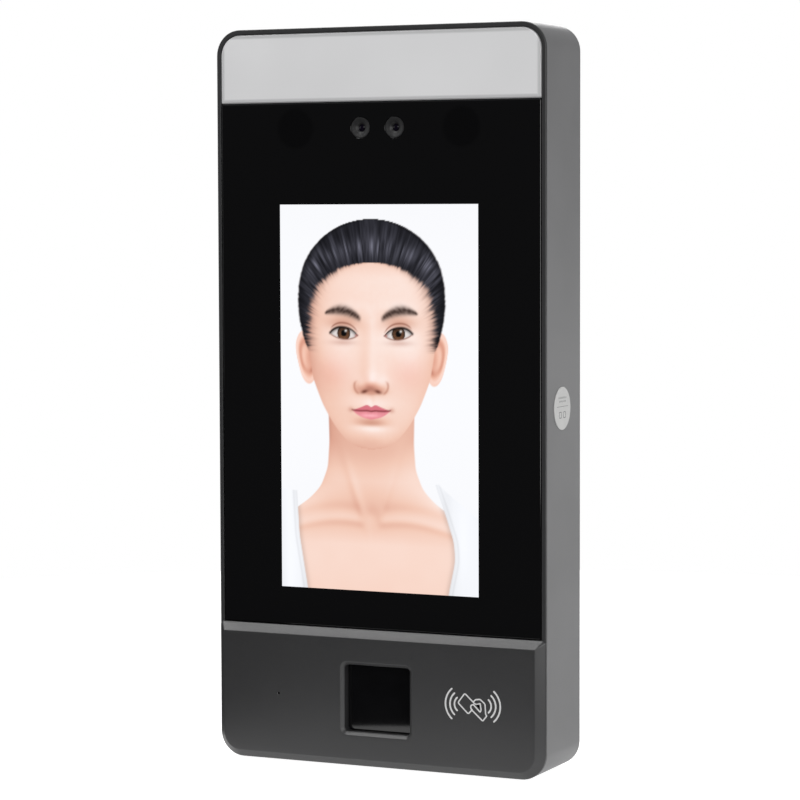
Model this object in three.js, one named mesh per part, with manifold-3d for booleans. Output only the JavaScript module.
// Wall-mounted access terminal: a face display, two cameras, a fill light strip, a fingerprint
// reader and a card reader in a moulded housing that hangs on a steel wall bracket.
//
// Millimetres, +Z up. The wall is the plane y = 0, and the terminal stands out from it towards -Y.
// The origin is on the wall plane, behind the middle of the outline. "Depth" is the distance in
// front of the wall, so a depth d lies at y = -d: small depths are at the back, large at the front.

import * as THREE from "three";
import { mergeVertices } from "three/addons/utils/BufferGeometryUtils.js";
import Module from "manifold-3d";

const wasm = await Module();
wasm.setup();

// ---------------------------------------------------------------- driving dimensions

// Outline
const WIDTH = 112.7;
const HEIGHT = 232;
const DEPTH = 29.5; // wall to the front rim
const CORNER_RADIUS = 8;
const CORNER_STEPS = 9; // flats in each corner of the outline

// Housing and its joint with the bezel
const WALL = 2.4;
const BACK_EDGE = 1; // rounding of the housing's back edge
const LAND = 0.9; // bezel thickness that shows on the sides
const SEAM = 0.2; // gap between the housing's front edge and the bezel's land
const LIP_FLAT = 0.45; // flat under the land before the bezel slopes inwards
const SPLIT_ANGLE = 29; // degrees between the sloped joint and the side wall
const SIDE_FIT = 0.25; // sideways clearance between bezel and housing
const SKIRT_LENGTH = 8; // how far the bezel reaches back from the rim
const SKIRT_WALL = 1.8;
const GASKET = 1.2; // space for the gasket between skirt and ledge
const LEDGE = 2; // thickness of the ledge that carries the gasket
const LEDGE_WIDTH = 2.2;
const POST_RADIUS = 4;
const BOSS_RADIUS = 3.5;
const BOSS_SKIN = 0.3; // a boss stops this far behind the floor of the glass pocket
const GUSSET = 2.5; // thickness of the ribs that carry the bosses
const BOSS_TO_SKIRT = 0.6; // clear space between a boss and the bezel's skirt
const POST_FRONT = 13.9; // depth where the housing's posts meet the bezel's bosses
const POST_FIT = 0.3;

// Front face, measured in from the outline
const RIM = 1.3;
const RIM_TOP = 1.5;
const STRIP_HEIGHT = 21.76; // light strip with its clearances
const CHIN_HEIGHT = 43.4;
const CHIN_RISE = 2.7;
const CHIN_BEVEL = 2.6;
const CHIN_WALL = 2.4;
const CHIN_TOP_RADIUS = 1.2;
const SHEET = 1.1; // thickness of the cover glass and of the light diffuser
const ADHESIVE = 0.3;
const PANE_FIT = 0.15; // clearance round the cover glass and the diffuser
const PANE_RADIUS = 0.6;
const CROSSBAR = 5; // bar behind the joint between glass and diffuser
const GLASS_LEDGE = 3; // ledge under the glass along the chin

// Display, measured in from the edges of the cover glass opening
const DISPLAY_SIDE = 22.3;
const DISPLAY_BELOW = 12.3;
const DISPLAY_ABOVE = 31.9;
const DISPLAY_BORDER = 2.2; // panel beyond its picture
const PANEL = 1.4;
const BACKLIGHT = 2;
const LAYER_GAP = 0.2; // gap between stacked sheets
const TRAY_WALL = 1;

// Cameras and infrared lamps, behind holes and windows in the glass
const CAMERA_BELOW_STRIP = 8.15;
const CAMERA_SPACING = 11.7;
const CAMERA_RADIUS = 3.2;
const CAMERA_FIT = 0.12;
const LENS_RADIUS = 1.1;
const BARREL_RADIUS = 2.7;
const HOLDER_DEPTH = 7;
const LAMP_SPACING = 57;
const LAMP_RADIUS = 4.2;

// Fingerprint reader
const READER_WIDTH = 22.9;
const READER_HEIGHT = 21.5;
const READER_RADIUS = 1.4;
const READER_ABOVE_BOTTOM = 21.7; // middle of the opening above the bottom edge
const READER_LIP = 0.95;
const READER_RECESS = 3.6; // chin face to window
const READER_WINDOW = 2;
const READER_FIT = 0.25;
const READER_COLLAR = 1.5;
const READER_SEAL = 0.5;
const MODULE_DEPTH = 9.4;

// Microphone and card reader in the chin
const MIC_SIDE = 22.15; // microphone hole in from the left edge
const MIC_HOLE = 0.4;
const MIC_RADIUS = 3;
const ANTENNA_GAP = 2;
const ANTENNA_BOARD = 1;
const ANTENNA_SPACE = 0.6; // between the board and the inside of the chin

// Main board and the cable compartment behind it
const BOARD = 1.6;
const BOARD_TO_DISPLAY = 5.6;
const BOARD_SIDE = 13.4;
const BOARD_ABOVE_CHIN = 4.6;
const BOARD_BELOW_STRIP = 35;
const BOARD_FIT = 0.3;
const STANDOFF_RADIUS = 3;
const STANDOFF_IN = 4; // from the board's edges to a standoff

// Wall bracket in the recess of the housing's back
const RECESS_SIDE = 14.35;
const RECESS_TOP = 36;
const RECESS_BOTTOM = 6.4;
const RECESS_DEPTH = 6;
const RECESS_FLOOR = 2;
const RECESS_RADIUS = 4;
const PLATE = 1.6;
const PLATE_FIT = 2;
const PLATE_DROP = 4.2; // free height below the bracket, used to lift the terminal off its hooks
const HOOK_WIDTH = 8;
const HOOK_RISE = 3.5;
const HOOK_IN = 12;
const HOOK_DOWN = 18;
const HOOK_FIT = 0.5;
const HOOK_PLAY = 0.3; // free height over a hook
const HOOK_GRIP = 0.4; // space between the hook's upright and the recess floor
const COMPARTMENT_SIDE = 8; // from the recess's sides
const COMPARTMENT_UP = 43.6; // from the recess's bottom
const COMPARTMENT_HEIGHT = 60;
const COMPARTMENT_WALL = 2;
const COMPARTMENT_RADIUS = 1.5;
const COMPARTMENT_TO_HOOK = 11; // from the compartment's bottom down to the lower hooks
const WALL_SLOT = { width: 5, height: 11, in: 26, down: 30, below: 22 };

// Fasteners: shaft radius, head radius, head height
const SHELL_SCREW = { shaft: 1.5, head: 2.8, cap: 2, length: 16 };
const BOARD_SCREW = { shaft: 1.25, head: 2.3, cap: 1.5, length: 5 };
const LOCK_SCREW = { shaft: 1.5, head: 2.6, cap: 1.5, length: 12 };
const SCREW_FIT = 0.2;
const CLEAR = 1; // how far a cut runs on past the face that it opens
const BITE = 0.2; // how far a joined piece sinks into the one that it stands on
const TOUCH = 0.1; // gap left between two pieces that bear on each other
const SCREW_SEAT = 3.2; // depth where the shell screws' heads bear on the housing

// Tamper plunger and reset key
const PLUNGER_RADIUS = 2.5;
const PLUNGER_FIT = 0.3;
const PLUNGER_PROUD = 1.5; // beyond the wall plane when nothing presses it
const PLUNGER_TRAVEL = 1.2;
const PLUNGER_FLANGE = 1;
const SPRING_WIRE = 0.25;
const KEY_TRAVEL = 0.5;
const PLUNGER_FROM_TOP = 14; // from the recess's top, and from the column of hooks

// Round marks on the outside
const STICKER_RADIUS = 6.65;
const STICKER_DEPTH = 16.3;
const STICKER_Z = -2.1;
const PAPER = 0.2;
const LABEL_WIDTH = 56;
const LABEL_HEIGHT = 22;
const LABEL_FIT = 0.4;
const LABEL_RADIUS = 1.5;

// ---------------------------------------------------------------- derived places

const CHIN_TOP = -HEIGHT / 2 + CHIN_HEIGHT;
const STRIP_TOP = HEIGHT / 2 - RIM_TOP;
const STRIP_BOTTOM = STRIP_TOP - STRIP_HEIGHT;
const POCKET_FLOOR = DEPTH - SHEET - ADHESIVE;
const HOUSING_FRONT = DEPTH - LAND - SEAM;
const SLOPE = Math.tan((SPLIT_ANGLE * Math.PI) / 180);
const SKIRT_INSET = WALL + SIDE_FIT;
const HOLLOW_INSET = SKIRT_INSET + SKIRT_WALL;
const SKIRT_BACK = DEPTH - SKIRT_LENGTH;
const LEDGE_BACK = SKIRT_BACK - GASKET - LEDGE;
const SLOPE_BACK = DEPTH - LAND - (SKIRT_INSET - LIP_FLAT) / SLOPE;
const BOSS_X = WIDTH / 2 - HOLLOW_INSET - BOSS_TO_SKIRT - BOSS_RADIUS;
const BOSS_Z = HEIGHT / 2 - HOLLOW_INSET - BOSS_TO_SKIRT - BOSS_RADIUS;
const CHIN_FACE = DEPTH + CHIN_RISE;
const CHIN_BACK = CHIN_FACE - CHIN_WALL;

const PANEL_FRONT = POCKET_FLOOR;
const PANEL_BACK = PANEL_FRONT - PANEL;
const BACKLIGHT_FRONT = PANEL_BACK - LAYER_GAP;
const BACKLIGHT_BACK = BACKLIGHT_FRONT - BACKLIGHT;
const TRAY_BACK = BACKLIGHT_BACK - LAYER_GAP - TRAY_WALL;
const BOARD_FRONT = TRAY_BACK - BOARD_TO_DISPLAY;
const BOARD_BACK = BOARD_FRONT - BOARD;
const BOARD_BOX = {
  left: -WIDTH / 2 + BOARD_SIDE,
  right: WIDTH / 2 - BOARD_SIDE,
  bottom: CHIN_TOP + BOARD_ABOVE_CHIN,
  top: STRIP_BOTTOM - BOARD_BELOW_STRIP,
};
const RECESS_BOX = {
  left: -WIDTH / 2 + RECESS_SIDE,
  right: WIDTH / 2 - RECESS_SIDE,
  bottom: -HEIGHT / 2 + RECESS_BOTTOM,
  top: HEIGHT / 2 - RECESS_TOP,
};
const FLOOR_FRONT = RECESS_DEPTH + RECESS_FLOOR;
const COMPARTMENT_BOX = {
  left: RECESS_BOX.left + COMPARTMENT_SIDE,
  right: RECESS_BOX.right - COMPARTMENT_SIDE,
  bottom: RECESS_BOX.bottom + COMPARTMENT_UP,
  top: RECESS_BOX.bottom + COMPARTMENT_UP + COMPARTMENT_HEIGHT,
};
const PICTURE_BOX = {
  left: -WIDTH / 2 + DISPLAY_SIDE,
  right: WIDTH / 2 - DISPLAY_SIDE,
  bottom: CHIN_TOP + DISPLAY_BELOW,
  top: STRIP_BOTTOM - DISPLAY_ABOVE,
};
const CAMERA_Z = STRIP_BOTTOM - CAMERA_BELOW_STRIP;
const READER_Z = -HEIGHT / 2 + READER_ABOVE_BOTTOM;
const WINDOW_FRONT = CHIN_FACE - READER_RECESS;
const WINDOW_BACK = WINDOW_FRONT - READER_WINDOW;
const SEAL_BACK = WINDOW_BACK - READER_SEAL;
const MODULE_FRONT = SEAL_BACK - TOUCH;
const MODULE_BACK = MODULE_FRONT - MODULE_DEPTH;
const MODULE_X = READER_WIDTH / 2 + READER_COLLAR;
const MODULE_Z = READER_HEIGHT / 2 + READER_COLLAR;

// ---------------------------------------------------------------- shape helpers

// A closed geometry as a solid that can be joined and cut.
function solidOf(geometry) {
  const bare = geometry.index ? geometry.toNonIndexed() : geometry.clone();
  bare.deleteAttribute("normal");
  bare.deleteAttribute("uv");
  const merged = mergeVertices(bare, 1e-4);
  const mesh = new wasm.Mesh({
    numProp: 3,
    vertProperties: merged.attributes.position.array,
    triVerts: new Uint32Array(merged.index.array),
  });
  return new wasm.Manifold(mesh);
}

// A solid's surface as a geometry for a mesh.
function geometryOf(solid) {
  const mesh = solid.getMesh();
  const geometry = new THREE.BufferGeometry();
  geometry.setAttribute("position", new THREE.BufferAttribute(mesh.vertProperties, mesh.numProp));
  geometry.setIndex(new THREE.BufferAttribute(mesh.triVerts, 1));
  geometry.computeVertexNormals();
  return geometry;
}

const join = (first, ...others) => others.reduce((all, one) => all.add(one), first);
const cut = (first, ...tools) => tools.reduce((left, tool) => left.subtract(tool), first);

// The box that lies inside another by the same distance on each side, or outside it if negative.
const inside = (box, inset) => ({
  left: box.left + inset,
  right: box.right - inset,
  bottom: box.bottom + inset,
  top: box.top - inset,
});

const around = (x, z, width, height) => ({
  left: x - width / 2,
  right: x + width / 2,
  bottom: z - height / 2,
  top: z + height / 2,
});

// Points round a rectangle with rounded corners, anticlockwise as seen from the front. The lower
// and the upper corners can have different radii, and each corner has the same number of points.
function rounded(box, low, high = low, steps = 5) {
  const corners = [
    [box.right - low, box.bottom + low, low, -0.5],
    [box.right - high, box.top - high, high, 0],
    [box.left + high, box.top - high, high, 0.5],
    [box.left + low, box.bottom + low, low, 1],
  ];
  return corners.flatMap(([x, z, radius, turn]) =>
    Array.from({ length: steps + 1 }, (_, i) => {
      const angle = (turn + i / steps / 2) * Math.PI;
      return new THREE.Vector2(x + radius * Math.cos(angle), z + radius * Math.sin(angle));
    }),
  );
}

// A flat plate of any outline between two depths.
function slab(points, back, front) {
  const shape = new THREE.Shape(points);
  const geometry = new THREE.ExtrudeGeometry(shape, { depth: front - back, bevelEnabled: false });
  geometry.rotateX(Math.PI / 2);
  geometry.translate(0, -back, 0);
  return solidOf(geometry);
}

// A skin drawn through outlines with the same number of points, each at its own depth.
function loft(sections) {
  const count = sections[0][0].length;
  const positions = sections.flatMap(([points, depth]) => points.flatMap((p) => [p.x, -depth, p.y]));
  const faces = THREE.ShapeUtils.triangulateShape(sections[0][0], []);
  const last = (sections.length - 1) * count;
  const index = faces.flatMap(([a, b, c]) => [a, c, b, last + a, last + b, last + c]);
  for (let s = 0; s < sections.length - 1; s++) {
    for (let i = 0; i < count; i++) {
      const next = (i + 1) % count;
      const [a, b] = [s * count + i, s * count + next];
      index.push(a + count, a, b, a + count, b, b + count);
    }
  }
  const geometry = new THREE.BufferGeometry();
  geometry.setAttribute("position", new THREE.Float32BufferAttribute(positions, 3));
  geometry.setIndex(index);
  return solidOf(geometry);
}

// A square block between two x, two depths and two heights.
function block([x0, x1], [back, front], [z0, z1]) {
  const geometry = new THREE.BoxGeometry(x1 - x0, front - back, z1 - z0);
  geometry.translate((x0 + x1) / 2, -(back + front) / 2, (z0 + z1) / 2);
  return solidOf(geometry);
}

// A round bar that runs from back to front, tapered if the front radius differs.
function rod(x, z, radius, back, front, sides = 14, frontRadius = radius) {
  const geometry = new THREE.CylinderGeometry(radius, frontRadius, front - back, sides);
  geometry.translate(x, -(back + front) / 2, z);
  return solidOf(geometry);
}

// A round bar that runs upwards.
function column(x, depth, radius, z0, z1, sides = 12) {
  const geometry = new THREE.CylinderGeometry(radius, radius, z1 - z0, sides);
  geometry.rotateX(Math.PI / 2);
  geometry.translate(x, -depth, (z0 + z1) / 2);
  return solidOf(geometry);
}

// A pan-head screw with a cross recess, along +Y with its head at the far end from its tip.
function screw({ shaft, head, cap, length }) {
  const profile = [
    [0, -length],
    [shaft * 0.6, -length],
    [shaft, -length + shaft],
    [shaft, 0],
    [head, 0],
    [head * 0.85, cap],
    [0, cap],
  ].map(([radius, along]) => new THREE.Vector2(radius, along));
  const body = solidOf(new THREE.LatheGeometry(profile, 9));
  const [reach, slot] = [head * 0.55, head * 0.14];
  const recess = [cap * 0.4, cap + 1];
  const along = block([-reach, reach], [-recess[1], -recess[0]], [-slot, slot]);
  const across = block([-slot, slot], [-recess[1], -recess[0]], [-reach, reach]);
  return cut(body, along, across);
}

// ---------------------------------------------------------------- the scene graph

const terminal = new THREE.Group();

const plastic = (color, roughness = 0.55) => ({ color, roughness, metalness: 0 });
const metal = (color, roughness = 0.4) => ({ color, roughness, metalness: 1 });

const GREY_SHELL = plastic(0x6b6b6b, 0.5);
const BLACK_SHELL = plastic(0x333333, 0.5);
const BLACK_PART = plastic(0x1a1a1a, 0.6);
const BLACK_GLASS = plastic(0x0a0a0a, 0.06);
const DIFFUSER = plastic(0xc8c8c8, 0.35);
const WHITE_PART = plastic(0xe6e6e2, 0.5);
const RUBBER = plastic(0x202020, 0.85);
const CIRCUIT_BOARD = plastic(0x1d5a35, 0.5);
const GREEN_PART = plastic(0x3d9a58, 0.5);
const BLUE_PART = plastic(0x2b4f86, 0.5);
const STEEL = metal(0xa8abad, 0.4);
const ALUMINIUM = metal(0xb9bcbf, 0.45);
const SCREW_STEEL = metal(0x8c8e90, 0.35);

function add(name, solid, finish, position = [0, 0, 0]) {
  const mesh = new THREE.Mesh(geometryOf(solid), new THREE.MeshStandardMaterial(finish));
  mesh.name = name;
  mesh.position.set(...position);
  terminal.add(mesh);
  return mesh;
}

// ---------------------------------------------------------------- places that several pieces share

const outlineBox = around(0, 0, WIDTH, HEIGHT);
const outlineAt = (inset) => {
  const radius = Math.max(CORNER_RADIUS - inset, 0.5);
  return rounded(inside(outlineBox, inset), radius, radius, CORNER_STEPS);
};
const skin = (inset, depth) => [outlineAt(inset), depth];

const shellPosts = [-1, 1].flatMap((side) => [-1, 0, 1].map((row) => [side * BOSS_X, row * BOSS_Z]));
const standoffs = [-1, 1].flatMap((side) =>
  [BOARD_BOX.bottom + STANDOFF_IN, BOARD_BOX.top - STANDOFF_IN].map((z) => [
    side * (BOARD_BOX.right - STANDOFF_IN),
    z,
  ]),
);
const hookTops = [-1, 1].flatMap((side) =>
  [RECESS_BOX.top - HOOK_DOWN, COMPARTMENT_BOX.bottom - COMPARTMENT_TO_HOOK].map((z) => [
    side * (RECESS_BOX.right - HOOK_IN),
    z,
  ]),
);
const plunger = {
  x: RECESS_BOX.right - HOOK_IN - PLUNGER_FROM_TOP,
  z: RECESS_BOX.top - PLUNGER_FROM_TOP,
};
const labelBox = around(0, HEIGHT / 2 - RECESS_TOP / 2, LABEL_WIDTH, LABEL_HEIGHT);
const LABEL_POCKET = 0.3;
const LOCK_DEPTH = 3.7;
const TAB_HALF = 9;
const TAB_TOP = RECESS_BOX.bottom + PLATE_DROP + PLATE;

// ---------------------------------------------------------------- rear housing

function rearHousing() {
  const outer = loft([
    skin(BACK_EDGE, 0),
    skin(BACK_EDGE * 0.3, BACK_EDGE * 0.3),
    skin(0, BACK_EDGE),
    skin(0, HOUSING_FRONT),
  ]);
  const lip = LIP_FLAT + (DEPTH - LAND - HOUSING_FRONT) * SLOPE - SIDE_FIT;
  const hollow = loft([
    skin(WALL, WALL),
    skin(WALL, SLOPE_BACK),
    skin(lip, HOUSING_FRONT),
    skin(lip, HOUSING_FRONT + CLEAR),
  ]);
  const gasketLedge = cut(
    slab(outlineAt(WALL - BITE), LEDGE_BACK, LEDGE_BACK + LEDGE),
    slab(outlineAt(WALL + LEDGE_WIDTH), LEDGE_BACK - CLEAR, LEDGE_BACK + LEDGE + CLEAR),
  );
  const floorBox = { ...inside(RECESS_BOX, -RECESS_FLOOR), bottom: outlineBox.bottom + WALL - BITE };
  const recessFloor = slab(rounded(floorBox, RECESS_RADIUS), WALL - BITE, FLOOR_FRONT);
  const recess = slab(rounded(RECESS_BOX, RECESS_RADIUS), -CLEAR, RECESS_DEPTH);
  const tunnelBox = inside(COMPARTMENT_BOX, -COMPARTMENT_WALL);
  const tunnel = slab(
    rounded(tunnelBox, COMPARTMENT_RADIUS + COMPARTMENT_WALL / 2),
    FLOOR_FRONT - BITE,
    BOARD_BACK - BOARD_FIT,
  );
  const compartment = slab(
    rounded(COMPARTMENT_BOX, COMPARTMENT_RADIUS),
    RECESS_DEPTH - CLEAR,
    BOARD_BACK + CLEAR,
  );

  const posts = shellPosts.map(([x, z]) => rod(x, z, POST_RADIUS, WALL - BITE, POST_FRONT));
  const supports = standoffs.map(([x, z]) =>
    rod(x, z, STANDOFF_RADIUS, FLOOR_FRONT - BITE, BOARD_BACK - TOUCH, 12),
  );
  const postHoles = shellPosts.flatMap(([x, z]) => [
    rod(x, z, SHELL_SCREW.shaft + SCREW_FIT, -CLEAR, POST_FRONT + CLEAR, 10),
    rod(x, z, SHELL_SCREW.head + SCREW_FIT * 2, -CLEAR, SCREW_SEAT, 16),
  ]);
  const supportHoles = standoffs.map(([x, z]) =>
    rod(x, z, BOARD_SCREW.shaft + SCREW_FIT, FLOOR_FRONT + CLEAR, BOARD_BACK + CLEAR, 10),
  );
  const hookSlots = hookTops.map(([x, z]) =>
    block(
      [x - HOOK_WIDTH / 2 - HOOK_FIT, x + HOOK_WIDTH / 2 + HOOK_FIT],
      [RECESS_DEPTH - CLEAR, FLOOR_FRONT + CLEAR],
      [z - PLATE - HOOK_RISE - HOOK_FIT, z + HOOK_PLAY],
    ),
  );
  const plungerHole = rod(
    plunger.x, plunger.z, PLUNGER_RADIUS + PLUNGER_FIT, RECESS_DEPTH - CLEAR, FLOOR_FRONT + CLEAR, 16,
  );
  const bottom = outlineBox.bottom;
  const lockHole = column(
    0, LOCK_DEPTH, LOCK_SCREW.shaft + SCREW_FIT, bottom - CLEAR, RECESS_BOX.bottom + CLEAR, 16,
  );
  const lockSink = column(
    0, LOCK_DEPTH, LOCK_SCREW.head + SCREW_FIT, bottom - CLEAR, bottom + LOCK_SCREW.cap + SCREW_FIT,
  );
  const soundSlots = speakerSlots().map((x) =>
    block(
      [x - SOUND_SLOT / 2, x + SOUND_SLOT / 2],
      [SPEAKER.back + 1.5, SPEAKER.front - 1.5],
      [bottom - CLEAR, bottom + WALL + CLEAR],
    ),
  );
  const labelPocket = slab(
    rounded(inside(labelBox, -LABEL_FIT), LABEL_RADIUS + LABEL_FIT, LABEL_RADIUS + LABEL_FIT, 3),
    -CLEAR,
    LABEL_POCKET,
  );

  const hollowed = cut(outer, hollow);
  const withInsides = join(hollowed, gasketLedge, recessFloor, tunnel, ...posts, ...supports);
  return cut(
    withInsides, recess, compartment, ...postHoles, ...supportHoles, ...hookSlots,
    plungerHole, lockHole, lockSink, ...soundSlots, labelPocket,
  );
}

// ---------------------------------------------------------------- speaker place, behind the chin's left

const SOUND_SLOT = 1.2;
const SOUND_SLOTS = 7;
const SPEAKER = {
  left: -BOSS_X + BOSS_RADIUS + 1,
  right: -MODULE_X - 1.5,
  back: FLOOR_FRONT + 2,
  front: LEDGE_BACK - 0.3,
  bottom: outlineBox.bottom + WALL + 0.4,
  height: 8,
};

function speakerSlots() {
  const margin = 4;
  const pitch = (SPEAKER.right - SPEAKER.left - 2 * margin) / (SOUND_SLOTS - 1);
  return Array.from({ length: SOUND_SLOTS }, (_, i) => SPEAKER.left + margin + i * pitch);
}

// ---------------------------------------------------------------- front bezel

function frontBezel() {
  const shell = loft([
    skin(SKIRT_INSET, SKIRT_BACK),
    skin(SKIRT_INSET, SLOPE_BACK),
    skin(LIP_FLAT, DEPTH - LAND),
    skin(0, DEPTH - LAND),
    skin(0, DEPTH),
  ]);
  const chinBox = { ...outlineBox, top: CHIN_TOP };
  const chinAt = (inset, depth) => {
    const topRadius = Math.max(CHIN_TOP_RADIUS - inset, 0.4);
    return [rounded(inside(chinBox, inset), CORNER_RADIUS - inset, topRadius, CORNER_STEPS), depth];
  };
  const chin = loft([chinAt(0, DEPTH - LAND), chinAt(0, DEPTH), chinAt(CHIN_BEVEL, CHIN_FACE)]);

  const pocketBox = { ...inside(outlineBox, RIM), bottom: CHIN_TOP, top: STRIP_TOP };
  const pocket = slab(
    rounded(pocketBox, PANE_RADIUS, CORNER_RADIUS - RIM, CORNER_STEPS),
    POCKET_FLOOR,
    DEPTH + CLEAR,
  );
  const hollowBox = inside(outlineBox, HOLLOW_INSET);
  const windowAt = (bottom, top, low, high) =>
    slab(rounded({ ...hollowBox, bottom, top }, low, high), SKIRT_BACK - CLEAR, POCKET_FLOOR + CLEAR);
  const cornerRadius = CORNER_RADIUS - HOLLOW_INSET;
  const displayWindow = windowAt(CHIN_TOP + GLASS_LEDGE, STRIP_BOTTOM - CROSSBAR / 2, 1, 1);
  const lightWindow = windowAt(STRIP_BOTTOM + CROSSBAR / 2, hollowBox.top, 1, cornerRadius);
  const chinHollow = slab(
    rounded({ ...hollowBox, top: CHIN_TOP - CHIN_WALL }, cornerRadius, 1),
    SKIRT_BACK - CLEAR,
    CHIN_BACK,
  );

  const opening = around(0, READER_Z, READER_WIDTH, READER_HEIGHT);
  const collar = slab(
    rounded(inside(opening, -READER_COLLAR), READER_RADIUS + READER_COLLAR),
    WINDOW_BACK,
    CHIN_BACK + BITE,
  );
  const bosses = shellPosts.map(([x, z]) => {
    const front = z < CHIN_TOP ? CHIN_BACK + BITE : POCKET_FLOOR - BOSS_SKIN;
    return rod(x, z, BOSS_RADIUS, POST_FRONT + POST_FIT, front);
  });
  const gussets = shellPosts.map(([x, z]) => {
    const reach = Math.sign(x) * (WIDTH / 2 - HOLLOW_INSET + BITE);
    const span = [Math.min(x, reach), Math.max(x, reach)];
    const depths = [SKIRT_BACK, POCKET_FLOOR - BOSS_SKIN];
    return block(span, depths, [z - GUSSET / 2, z + GUSSET / 2]);
  });

  const lipAt = (inset, depth) => [rounded(inside(opening, inset), READER_RADIUS - inset), depth];
  const readerHole = loft([
    lipAt(0, WINDOW_BACK - CLEAR),
    lipAt(0, CHIN_FACE - READER_LIP),
    lipAt(-READER_LIP, CHIN_FACE),
    lipAt(-READER_LIP, CHIN_FACE + CLEAR),
  ]);
  const micX = outlineBox.left + MIC_SIDE;
  const micHole = rod(micX, READER_Z, MIC_HOLE, CHIN_BACK - CLEAR, CHIN_FACE + CLEAR, 12);
  const bossHoles = shellPosts.map(([x, z]) => {
    const depth = SHELL_SCREW.length - POST_FRONT + SHELL_SCREW.cap + 2 * CLEAR;
    return rod(x, z, SHELL_SCREW.shaft + SCREW_FIT, POST_FRONT - CLEAR, POST_FRONT + depth, 16);
  });

  const solid = cut(join(shell, chin), pocket, displayWindow, lightWindow, chinHollow);
  return cut(join(solid, collar, ...bosses, ...gussets), readerHole, micHole, ...bossHoles);
}

add("rear_housing", rearHousing(), GREY_SHELL);
add("front_bezel", frontBezel(), BLACK_SHELL);

add(
  "housing_gasket",
  cut(
    slab(outlineAt(SKIRT_INSET + 0.15), LEDGE_BACK + LEDGE + TOUCH, SKIRT_BACK - TOUCH),
    slab(outlineAt(SKIRT_INSET + SKIRT_WALL), LEDGE_BACK, SKIRT_BACK + CLEAR),
  ),
  RUBBER,
);

// ---------------------------------------------------------------- cover glass, diffuser and their adhesive

const glassBox = {
  ...inside(outlineBox, RIM + PANE_FIT),
  bottom: CHIN_TOP + PANE_FIT,
  top: STRIP_BOTTOM - PANE_FIT / 2,
};
const cameraX = [-CAMERA_SPACING / 2, CAMERA_SPACING / 2];
add(
  "cover_glass",
  cut(
    slab(rounded(glassBox, PANE_RADIUS), DEPTH - SHEET, DEPTH),
    ...cameraX.map((x) =>
      rod(x, CAMERA_Z, CAMERA_RADIUS + CAMERA_FIT, DEPTH - SHEET - CLEAR, DEPTH + CLEAR, 20),
    ),
  ),
  BLACK_GLASS,
);

const stripBox = {
  ...inside(outlineBox, RIM + PANE_FIT),
  bottom: STRIP_BOTTOM + PANE_FIT / 2,
  top: STRIP_TOP - PANE_FIT,
};
add(
  "light_diffuser",
  slab(
    rounded(stripBox, 0.4, CORNER_RADIUS - RIM - PANE_FIT, CORNER_STEPS),
    DEPTH - SHEET,
    DEPTH,
  ),
  DIFFUSER,
);

const bondBox = { ...inside(outlineBox, RIM + 0.6), bottom: CHIN_TOP + 0.6, top: STRIP_TOP - 0.5 };
const bondHole = (bottom, top) =>
  slab(
    rounded({ ...inside(outlineBox, HOLLOW_INSET - 0.4), bottom, top }, 0.8),
    POCKET_FLOOR - 1,
    DEPTH,
  );
add(
  "glass_adhesive",
  cut(
    slab(rounded(bondBox, 0.5, CORNER_RADIUS - RIM - 0.8), POCKET_FLOOR + 0.05, DEPTH - SHEET - 0.05),
    bondHole(CHIN_TOP + GLASS_LEDGE - 0.4, STRIP_BOTTOM - CROSSBAR / 2 + 0.4),
    bondHole(STRIP_BOTTOM + CROSSBAR / 2 - 0.4, STRIP_TOP - 3),
  ),
  BLACK_PART,
);

// ---------------------------------------------------------------- fill light behind the diffuser

const LIGHT_BOARD = 1.2;
const LIGHT_BACK = POCKET_FLOOR - 4.4;
const LED = { width: 3, height: 2.8, thick: 0.8 };
const LED_COUNT = 10;
const LED_MARGIN = 7;
const lightBox = {
  left: -BOSS_X + BOSS_RADIUS + 1,
  right: BOSS_X - BOSS_RADIUS - 1,
  bottom: STRIP_BOTTOM + CROSSBAR / 2 + 0.6,
  top: STRIP_TOP - 4,
};
const lightMiddle = (lightBox.bottom + lightBox.top) / 2;

function fillLightBoard() {
  const front = LIGHT_BACK + LIGHT_BOARD;
  const pitch = (lightBox.right - lightBox.left - 2 * LED_MARGIN) / (LED_COUNT - 1);
  const leds = Array.from({ length: LED_COUNT }, (_, i) => {
    const x = lightBox.left + LED_MARGIN + i * pitch;
    return block(
      [x - LED.width / 2, x + LED.width / 2],
      [front - BITE, front + LED.thick],
      [lightMiddle - LED.height / 2, lightMiddle + LED.height / 2],
    );
  });
  return join(slab(rounded(lightBox, 1, 1, 2), LIGHT_BACK, front), ...leds);
}
add("fill_light_board", fillLightBoard(), WHITE_PART);

const trayBack = LIGHT_BACK + LIGHT_BOARD + TOUCH;
const reflectorHole = (inset, depth) => [rounded(inside(lightBox, inset), 1, 1, 3), depth];
add(
  "fill_light_reflector",
  cut(
    slab(rounded(lightBox, 1.5, 1.5, 3), trayBack, POCKET_FLOOR - LAYER_GAP),
    loft([
      reflectorHole(4, trayBack - CLEAR),
      reflectorHole(4, trayBack),
      reflectorHole(0.8, POCKET_FLOOR - LAYER_GAP),
      reflectorHole(0.8, POCKET_FLOOR + CLEAR),
    ]),
  ),
  WHITE_PART,
);

// ---------------------------------------------------------------- display

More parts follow.
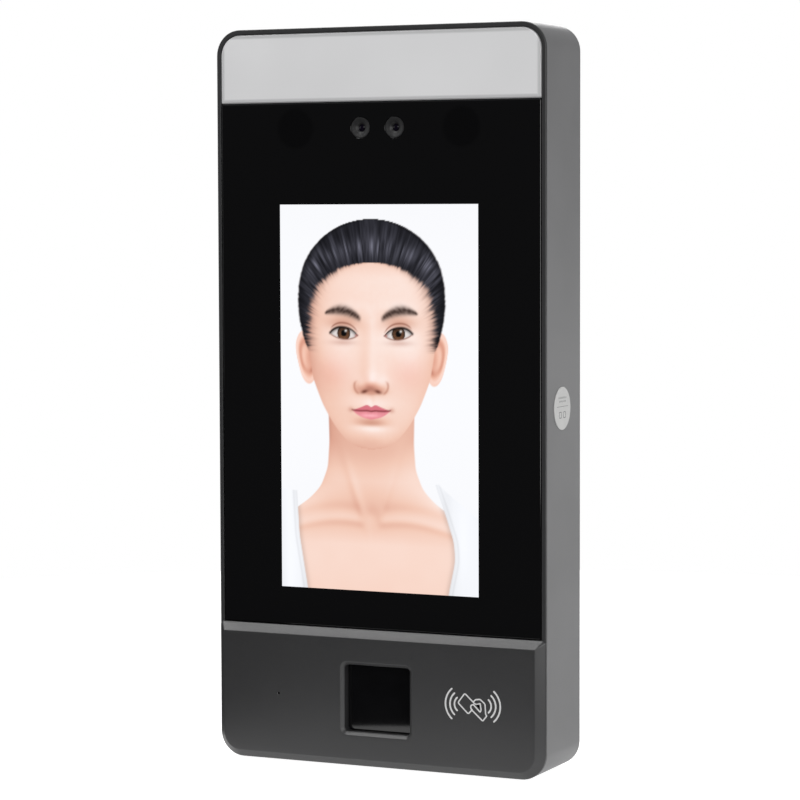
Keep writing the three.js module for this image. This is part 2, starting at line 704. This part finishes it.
const panelBox = inside(PICTURE_BOX, -DISPLAY_BORDER);
const trayBox = inside(panelBox, -LAYER_GAP * 2 - TRAY_WALL);
add(
  "display_panel",
  slab(rounded(panelBox, 1, 1, 2), PANEL_BACK, PANEL_FRONT),
  BLACK_PART,
);
add(
  "display_backlight",
  slab(rounded(panelBox, 1, 1, 2), BACKLIGHT_BACK, BACKLIGHT_FRONT),
  WHITE_PART,
);
const ribbonBox = around(0, PICTURE_BOX.bottom + 22, 18, 6);
add(
  "display_tray",
  cut(
    slab(rounded(trayBox, 1.5, 1.5, 3), TRAY_BACK, PANEL_BACK + BITE * 2),
    slab(rounded(inside(trayBox, TRAY_WALL), 1, 1, 2), TRAY_BACK + TRAY_WALL, DEPTH),
    slab(rounded(ribbonBox, 1, 1, 2), TRAY_BACK - CLEAR, DEPTH),
  ),
  STEEL,
);

// ---------------------------------------------------------------- cameras and infrared lamps

const BAFFLE_BACK = DEPTH - SHEET - 0.5;
const BAFFLE_CONE = 1;
const LENS_FRONT = DEPTH - BAFFLE_CONE - 0.35;
const HOLDER_FRONT = BAFFLE_BACK - 0.15;
const HOLDER_BACK = HOLDER_FRONT - HOLDER_DEPTH;
const CAMERA_BOARD = 1;

function cameraBaffle(x) {
  const body = join(
    rod(x, CAMERA_Z, CAMERA_RADIUS, BAFFLE_BACK + BITE, DEPTH - 0.05, 20),
    rod(x, CAMERA_Z, CAMERA_RADIUS + 0.9, BAFFLE_BACK, DEPTH - SHEET - TOUCH, 20),
  );
  const throat = DEPTH - 0.05 - BAFFLE_CONE;
  return cut(
    body,
    rod(x, CAMERA_Z, LENS_RADIUS, BAFFLE_BACK - CLEAR, throat + 0.01),
    rod(x, CAMERA_Z, LENS_RADIUS, throat, DEPTH, 14, CAMERA_RADIUS - 0.35),
  );
}

function cameraLens(x) {
  const nose = LENS_RADIUS - 0.1;
  return join(
    rod(x, CAMERA_Z, BARREL_RADIUS - 0.15, HOLDER_BACK + 0.2, HOLDER_FRONT - 0.1),
    rod(x, CAMERA_Z, nose, HOLDER_FRONT - 0.3, LENS_FRONT - 0.25, 12),
    rod(x, CAMERA_Z, nose, LENS_FRONT - 0.26, LENS_FRONT, 12, nose * 0.6),
  );
}

const sides = [["left", -1], ["right", 1]];
for (const [name, side] of sides) {
  const x = (side * CAMERA_SPACING) / 2;
  add(`camera_baffle_${name}`, cameraBaffle(x), BLACK_PART);
  add(`camera_lens_${name}`, cameraLens(x), BLACK_GLASS);
}

const holderBox = around(0, CAMERA_Z, CAMERA_SPACING + 2 * BARREL_RADIUS + 4, 2 * BARREL_RADIUS + 3.6);
add(
  "camera_holder",
  cut(
    slab(rounded(holderBox, 1.2, 1.2, 3), HOLDER_BACK, HOLDER_FRONT),
    ...cameraX.map((x) => rod(x, CAMERA_Z, BARREL_RADIUS, HOLDER_BACK - CLEAR, HOLDER_FRONT + CLEAR)),
  ),
  BLACK_PART,
);
const lampReach = LAMP_SPACING / 2 + LAMP_RADIUS;
const cameraBoardBox = around(0, CAMERA_Z, 2 * lampReach, 2 * BARREL_RADIUS + 3.6);
add(
  "camera_board",
  slab(rounded(cameraBoardBox, 1, 1, 2), HOLDER_BACK - TOUCH - CAMERA_BOARD, HOLDER_BACK - TOUCH),
  CIRCUIT_BOARD,
);

function infraredLamp(x) {
  const [back, front] = [HOLDER_BACK, POCKET_FLOOR - 0.6];
  const cup = rod(x, CAMERA_Z, LAMP_RADIUS - 0.3, back, front);
  const bowl = rod(x, CAMERA_Z, 1.6, back + 2.2, front + 0.01, 14, LAMP_RADIUS - 0.9);
  const dome = rod(x, CAMERA_Z, 1.3, back + 1, back + 3.6, 10, 0.8);
  return join(cut(cup, bowl), dome);
}
for (const [name, side] of sides) {
  add(`infrared_lamp_${name}`, infraredLamp((side * LAMP_SPACING) / 2), BLACK_PART);
}

// ---------------------------------------------------------------- fingerprint reader

const windowBox = around(0, READER_Z, READER_WIDTH - 2 * READER_FIT, READER_HEIGHT - 2 * READER_FIT);
const moduleBox = around(0, READER_Z, 2 * MODULE_X, 2 * MODULE_Z);
add(
  "fingerprint_window",
  slab(
    rounded(windowBox, READER_RADIUS - READER_FIT, READER_RADIUS - READER_FIT, 3),
    WINDOW_BACK,
    WINDOW_FRONT,
  ),
  BLACK_GLASS,
);
add(
  "fingerprint_seal",
  cut(
    slab(rounded(inside(moduleBox, 0.2), 1.5, 1.5, 3), SEAL_BACK, WINDOW_BACK - TOUCH),
    slab(rounded(inside(moduleBox, 3.4), 1, 1, 3), SEAL_BACK - CLEAR, WINDOW_BACK + CLEAR),
  ),
  RUBBER,
);
add(
  "fingerprint_housing",
  cut(
    slab(rounded(moduleBox, 1.5, 1.5, 3), MODULE_BACK, MODULE_FRONT),
    slab(rounded(inside(moduleBox, 2), 1, 1, 3), MODULE_BACK + 1.5, MODULE_FRONT + CLEAR),
  ),
  BLACK_PART,
);

// The prism's back is cut at a slant, so that the sensor looks at the finger from below.
function prism() {
  const box = inside(moduleBox, 2.6);
  const [back, front] = [MODULE_BACK + 2, MODULE_FRONT - 0.2];
  const profile = [
    [front, box.bottom],
    [front, box.top],
    [back + 3, box.top],
    [back, box.bottom + 6],
    [back, box.bottom],
  ].map(([depth, z]) => new THREE.Vector2(-depth, z));
  const shape = new THREE.Shape(profile);
  const geometry = new THREE.ExtrudeGeometry(shape, { depth: box.right - box.left, bevelEnabled: false });
  // The extrusion runs along Z, and this turns it to run along X with the profile's x as Y.
  const turn = new THREE.Matrix4().makeBasis(
    new THREE.Vector3(0, 1, 0), new THREE.Vector3(0, 0, 1), new THREE.Vector3(1, 0, 0),
  );
  geometry.applyMatrix4(turn);
  geometry.translate(box.left, 0, 0);
  return solidOf(geometry);
}
add("fingerprint_prism", prism(), BLACK_GLASS);
add(
  "fingerprint_board",
  slab(rounded(moduleBox, 1, 1, 2), MODULE_BACK - 1.3, MODULE_BACK - TOUCH),
  CIRCUIT_BOARD,
);

// ---------------------------------------------------------------- card antenna, microphone and speaker

const antennaBox = {
  left: MODULE_X + ANTENNA_GAP,
  right: BOSS_X - BOSS_RADIUS - 1,
  bottom: outlineBox.bottom + HOLLOW_INSET + 1,
  top: CHIN_TOP - 4,
};
add(
  "card_antenna_board",
  slab(
    rounded(antennaBox, 1.5, 1.5, 3),
    CHIN_BACK - ANTENNA_SPACE - ANTENNA_BOARD,
    CHIN_BACK - ANTENNA_SPACE,
  ),
  CIRCUIT_BOARD,
);
const micX = outlineBox.left + MIC_SIDE;
add("microphone", rod(micX, READER_Z, MIC_RADIUS, CHIN_BACK - 2.8, CHIN_BACK - 0.2, 18), ALUMINIUM);

function speaker() {
  const { left, right, back, front, bottom, height } = SPEAKER;
  const middle = (back + front) / 2;
  const body = block([left, right], [back, front], [bottom, bottom + height]);
  const cone = block([left + 2, right - 2], [back + 2, front - 2], [bottom - 1, bottom + 1.5]);
  const magnet = column((left + right) / 2, middle, (front - back) / 2 - 0.6, bottom + 0.6, bottom + height);
  return join(cut(body, cone), magnet);
}
add("speaker", speaker(), BLACK_PART);

// ---------------------------------------------------------------- main board and what is on it

add(
  "main_board",
  cut(
    slab(rounded(BOARD_BOX, 2, 2, 3), BOARD_BACK, BOARD_FRONT),
    ...standoffs.map(([x, z]) =>
      rod(x, z, BOARD_SCREW.shaft + SCREW_FIT, BOARD_BACK - CLEAR, BOARD_FRONT + CLEAR, 12),
    ),
  ),
  CIRCUIT_BOARD,
);

const ON_BOARD = BOARD_FRONT + TOUCH;
const SHIELD = 2.4;
const processorX = -12;
const processorZ = BOARD_BOX.top - 30;
const shieldBox = around(processorX, processorZ, 34, 34);
add(
  "processor_shield",
  slab(rounded(shieldBox, 1, 1, 2), ON_BOARD, ON_BOARD + SHIELD),
  STEEL,
);
const padBox = around(processorX, processorZ, 26, 26);
add(
  "heat_spreader",
  slab(rounded(padBox, 0.8, 0.8, 2), ON_BOARD + SHIELD + TOUCH, ON_BOARD + 4.5),
  ALUMINIUM,
);
add(
  "memory_chip",
  block([14, 26], [ON_BOARD, ON_BOARD + 1], [processorZ - 7, processorZ + 7]),
  BLACK_PART,
);
const batteryX = BOARD_BOX.left + 16;
const batteryZ = BOARD_BOX.bottom + 22;
add(
  "battery_holder",
  cut(
    rod(batteryX, batteryZ, 7.6, ON_BOARD, ON_BOARD + 3.6, 18),
    rod(batteryX, batteryZ, 6.5, ON_BOARD + 0.8, ON_BOARD + 5, 18),
    block([batteryX - 3, batteryX + 3], [ON_BOARD + 0.8, ON_BOARD + 5], [batteryZ, batteryZ + 9]),
  ),
  BLACK_PART,
);
add("clock_battery", rod(batteryX, batteryZ, 6.1, ON_BOARD + 0.9, ON_BOARD + 3.3, 18), STEEL);

// ---------------------------------------------------------------- connectors in the cable compartment

const UNDER_BOARD = BOARD_BACK - TOUCH;
const JACK = { width: 16, length: 21, height: 13.2, gap: 3, mouth: 12, latch: 6, wall: 1.4 };

function networkJack() {
  const left = COMPARTMENT_BOX.left + JACK.gap;
  const top = COMPARTMENT_BOX.top - JACK.gap;
  const back = UNDER_BOARD - JACK.height;
  const x = left + JACK.width / 2;
  const body = block([left, left + JACK.width], [back, UNDER_BOARD], [top - JACK.length, top]);
  const mouth = block(
    [x - JACK.mouth / 2, x + JACK.mouth / 2],
    [back + JACK.wall + 2.6, UNDER_BOARD - JACK.wall],
    [top - JACK.length - CLEAR, top - 5],
  );
  const latch = block(
    [x - JACK.latch / 2, x + JACK.latch / 2],
    [back + JACK.wall, back + JACK.wall + 3],
    [top - JACK.length - CLEAR, top - 8],
  );
  return cut(body, mouth, latch);
}
add("network_jack", networkJack(), STEEL);

// Screw terminals stand in a row up the compartment's right wall, with their wire holes to the left.
const TERMINAL = { pitch: 3.5, depth: 8, height: 10, wire: 1.1, screw: 1.3, gap: 2.5 };

function terminalBlock(bottom, ways) {
  const right = COMPARTMENT_BOX.right - TERMINAL.gap;
  const left = right - TERMINAL.depth;
  const back = UNDER_BOARD - TERMINAL.height;
  const top = bottom + ways * TERMINAL.pitch + 1;
  const body = block([left, right], [back, UNDER_BOARD], [bottom, top]);
  const holes = Array.from({ length: ways }, (_, i) => {
    const z = bottom + 0.5 + (i + 0.5) * TERMINAL.pitch;
    const wire = block(
      [left - 1, left + 4],
      [back + 5, back + 5 + 2 * TERMINAL.wire],
      [z - TERMINAL.wire, z + TERMINAL.wire],
    );
    const driver = rod(left + TERMINAL.depth / 2 + 0.8, z, TERMINAL.screw, back - 1, back + 2.4, 8);
    return [wire, driver];
  });
  return cut(body, ...holes.flat());
}
const terminalBottom = COMPARTMENT_BOX.bottom + TERMINAL.gap;
add("power_terminals", terminalBlock(terminalBottom, 2), GREEN_PART);
add("door_terminals", terminalBlock(terminalBottom + 10, 8), GREEN_PART);

const relayX = BOARD_BOX.left + 22;
const relayBottom = COMPARTMENT_BOX.top + COMPARTMENT_WALL + 4;
add(
  "lock_relay",
  block(
    [relayX - 8, relayX + 8],
    [FLOOR_FRONT + 0.4, UNDER_BOARD],
    [relayBottom, relayBottom + 12],
  ),
  BLUE_PART,
);

// ---------------------------------------------------------------- reset key in the cable compartment

const keyX = COMPARTMENT_BOX.left + 9;
const keyZ = COMPARTMENT_BOX.bottom + 8;
const KEY = { base: 3, height: 3.4, radius: 1.7, proud: 1.5, fit: 0.15, floor: 1 };
const keyBack = UNDER_BOARD - KEY.height;
add(
  "reset_switch",
  cut(
    block([keyX - KEY.base, keyX + KEY.base], [keyBack, UNDER_BOARD], [keyZ - KEY.base, keyZ + KEY.base]),
    rod(keyX, keyZ, KEY.radius + KEY.fit, keyBack - CLEAR, UNDER_BOARD - KEY.floor, 20),
  ),
  BLACK_PART,
);
add(
  "reset_key",
  rod(keyX, keyZ, KEY.radius, keyBack - KEY.proud, UNDER_BOARD - KEY.floor - 0.2 - KEY_TRAVEL, 20),
  WHITE_PART,
);

// ---------------------------------------------------------------- tamper switch, plunger and spring

const FLANGE_BACK = FLOOR_FRONT + 0.05;
const FLANGE_FRONT = FLANGE_BACK + PLUNGER_FLANGE;
const STEM_RADIUS = 1.2;
const SWITCH_HEIGHT = 2;
const SWITCH_HALF = 4;
const PLUNGER_TIP = 0.4; // length of the cone on the plunger's end
const switchBack = UNDER_BOARD - SWITCH_HEIGHT;
const stemFront = switchBack - PLUNGER_TRAVEL - 0.15;
add(
  "tamper_switch",
  block(
    [plunger.x - SWITCH_HALF, plunger.x + SWITCH_HALF],
    [switchBack, UNDER_BOARD],
    [plunger.z - SWITCH_HALF, plunger.z + SWITCH_HALF],
  ),
  BLACK_PART,
);
const tipFront = PLUNGER_TIP - PLUNGER_PROUD;
const plungerBar = (radius, back, front, frontRadius) =>
  rod(plunger.x, plunger.z, radius, back, front, 16, frontRadius);
add(
  "tamper_plunger",
  join(
    plungerBar(PLUNGER_RADIUS, tipFront, FLANGE_BACK + BITE),
    plungerBar(PLUNGER_RADIUS - PLUNGER_TIP, -PLUNGER_PROUD, tipFront + 0.01, PLUNGER_RADIUS),
    plungerBar(PLUNGER_RADIUS + 1.2, FLANGE_BACK, FLANGE_FRONT),
    rod(plunger.x, plunger.z, STEM_RADIUS, FLANGE_FRONT - BITE, stemFront, 10),
  ),
  WHITE_PART,
);

// A wire wound round the stem between the flange and the switch.
function plungerSpring() {
  const turns = 3;
  const stepsPerTurn = 10;
  const radius = STEM_RADIUS + 0.9;
  const start = FLANGE_FRONT + SPRING_WIRE + 0.1;
  const length = switchBack - SPRING_WIRE - 0.1 - start;
  const steps = turns * stepsPerTurn;
  const points = Array.from({ length: steps + 1 }, (_, i) => {
    const angle = (i / steps) * turns * 2 * Math.PI;
    const depth = start + (i / steps) * length;
    return new THREE.Vector3(
      plunger.x + radius * Math.cos(angle),
      -depth,
      plunger.z + radius * Math.sin(angle),
    );
  });
  const section = new THREE.Shape();
  section.absarc(0, 0, SPRING_WIRE, 0, 2 * Math.PI);
  const path = new THREE.CatmullRomCurve3(points);
  return solidOf(
    new THREE.ExtrudeGeometry(section, { steps, curveSegments: 2, extrudePath: path, bevelEnabled: false }),
  );
}
add("tamper_spring", plungerSpring(), STEEL);

// ---------------------------------------------------------------- wall bracket

function wallBracket() {
  const plateBox = {
    ...inside(RECESS_BOX, PLATE_FIT),
    bottom: RECESS_BOX.bottom + PLATE_DROP,
  };
  const plate = slab(rounded(plateBox, RECESS_RADIUS - 1, RECESS_RADIUS - 1, 4), 0, PLATE);
  const windowBox = inside(COMPARTMENT_BOX, -1);
  const cableWindow = slab(rounded(windowBox, 3, 3, 4), -CLEAR, PLATE + CLEAR);
  const hooks = hookTops.flatMap(([x, z]) => {
    const span = [x - HOOK_WIDTH / 2, x + HOOK_WIDTH / 2];
    const tip = FLOOR_FRONT + HOOK_GRIP;
    return [
      block(span, [PLATE - BITE, tip + PLATE], [z - PLATE, z]),
      block(span, [tip, tip + PLATE], [z - PLATE, z + HOOK_RISE]),
    ];
  });
  const tabDepths = [PLATE - BITE, RECESS_DEPTH - HOOK_GRIP];
  const tab = block([-TAB_HALF, TAB_HALF], tabDepths, [TAB_TOP - PLATE, TAB_TOP]);
  const tabHole = column(
    0, LOCK_DEPTH, LOCK_SCREW.shaft + SCREW_FIT, TAB_TOP - PLATE - CLEAR, TAB_TOP + CLEAR, 16,
  );
  const slotX = RECESS_BOX.right - WALL_SLOT.in;
  const slotRadius = WALL_SLOT.width / 2 - 0.05;
  const wallSlots = [-1, 1].flatMap((side) =>
    [RECESS_BOX.top - WALL_SLOT.down, COMPARTMENT_BOX.bottom - WALL_SLOT.below].map((z) => {
      const slot = around(side * slotX, z, WALL_SLOT.width, WALL_SLOT.height);
      return slab(rounded(slot, slotRadius, slotRadius, 4), -CLEAR, PLATE + CLEAR);
    }),
  );
  const plungerWindow = rod(plunger.x, plunger.z, PLUNGER_RADIUS + 1.5, -CLEAR, PLATE + CLEAR, 20);
  return cut(join(plate, ...hooks, tab), cableWindow, tabHole, ...wallSlots, plungerWindow);
}
add("wall_bracket", wallBracket(), STEEL);

// ---------------------------------------------------------------- fasteners

const shellScrew = screw(SHELL_SCREW);
shellPosts.forEach(([x, z], i) => {
  add(`housing_screw_${i + 1}`, shellScrew, SCREW_STEEL, [x, 0.05 - SCREW_SEAT, z]);
});

const boardScrew = screw(BOARD_SCREW);
standoffs.forEach(([x, z], i) => {
  const mesh = add(`board_screw_${i + 1}`, boardScrew, SCREW_STEEL, [x, -BOARD_FRONT - TOUCH, z]);
  mesh.rotation.x = Math.PI;
});

const lockScrew = add("bracket_lock_screw", screw(LOCK_SCREW), SCREW_STEEL);
lockScrew.rotation.x = -Math.PI / 2;
lockScrew.position.set(0, -LOCK_DEPTH, outlineBox.bottom + LOCK_SCREW.cap + 0.15);

// ---------------------------------------------------------------- labels

function sideSticker() {
  const disc = new THREE.CylinderGeometry(STICKER_RADIUS, STICKER_RADIUS, PAPER, 28);
  disc.rotateZ(Math.PI / 2);
  disc.translate(WIDTH / 2 + PAPER / 2 + 0.01, -STICKER_DEPTH, STICKER_Z);
  return solidOf(disc);
}
add("side_sticker", sideSticker(), WHITE_PART);

const labelFront = LABEL_POCKET - 0.01;
add(
  "rear_label",
  slab(rounded(labelBox, LABEL_RADIUS, LABEL_RADIUS, 3), labelFront - PAPER, labelFront),
  WHITE_PART,
);

export default terminal;
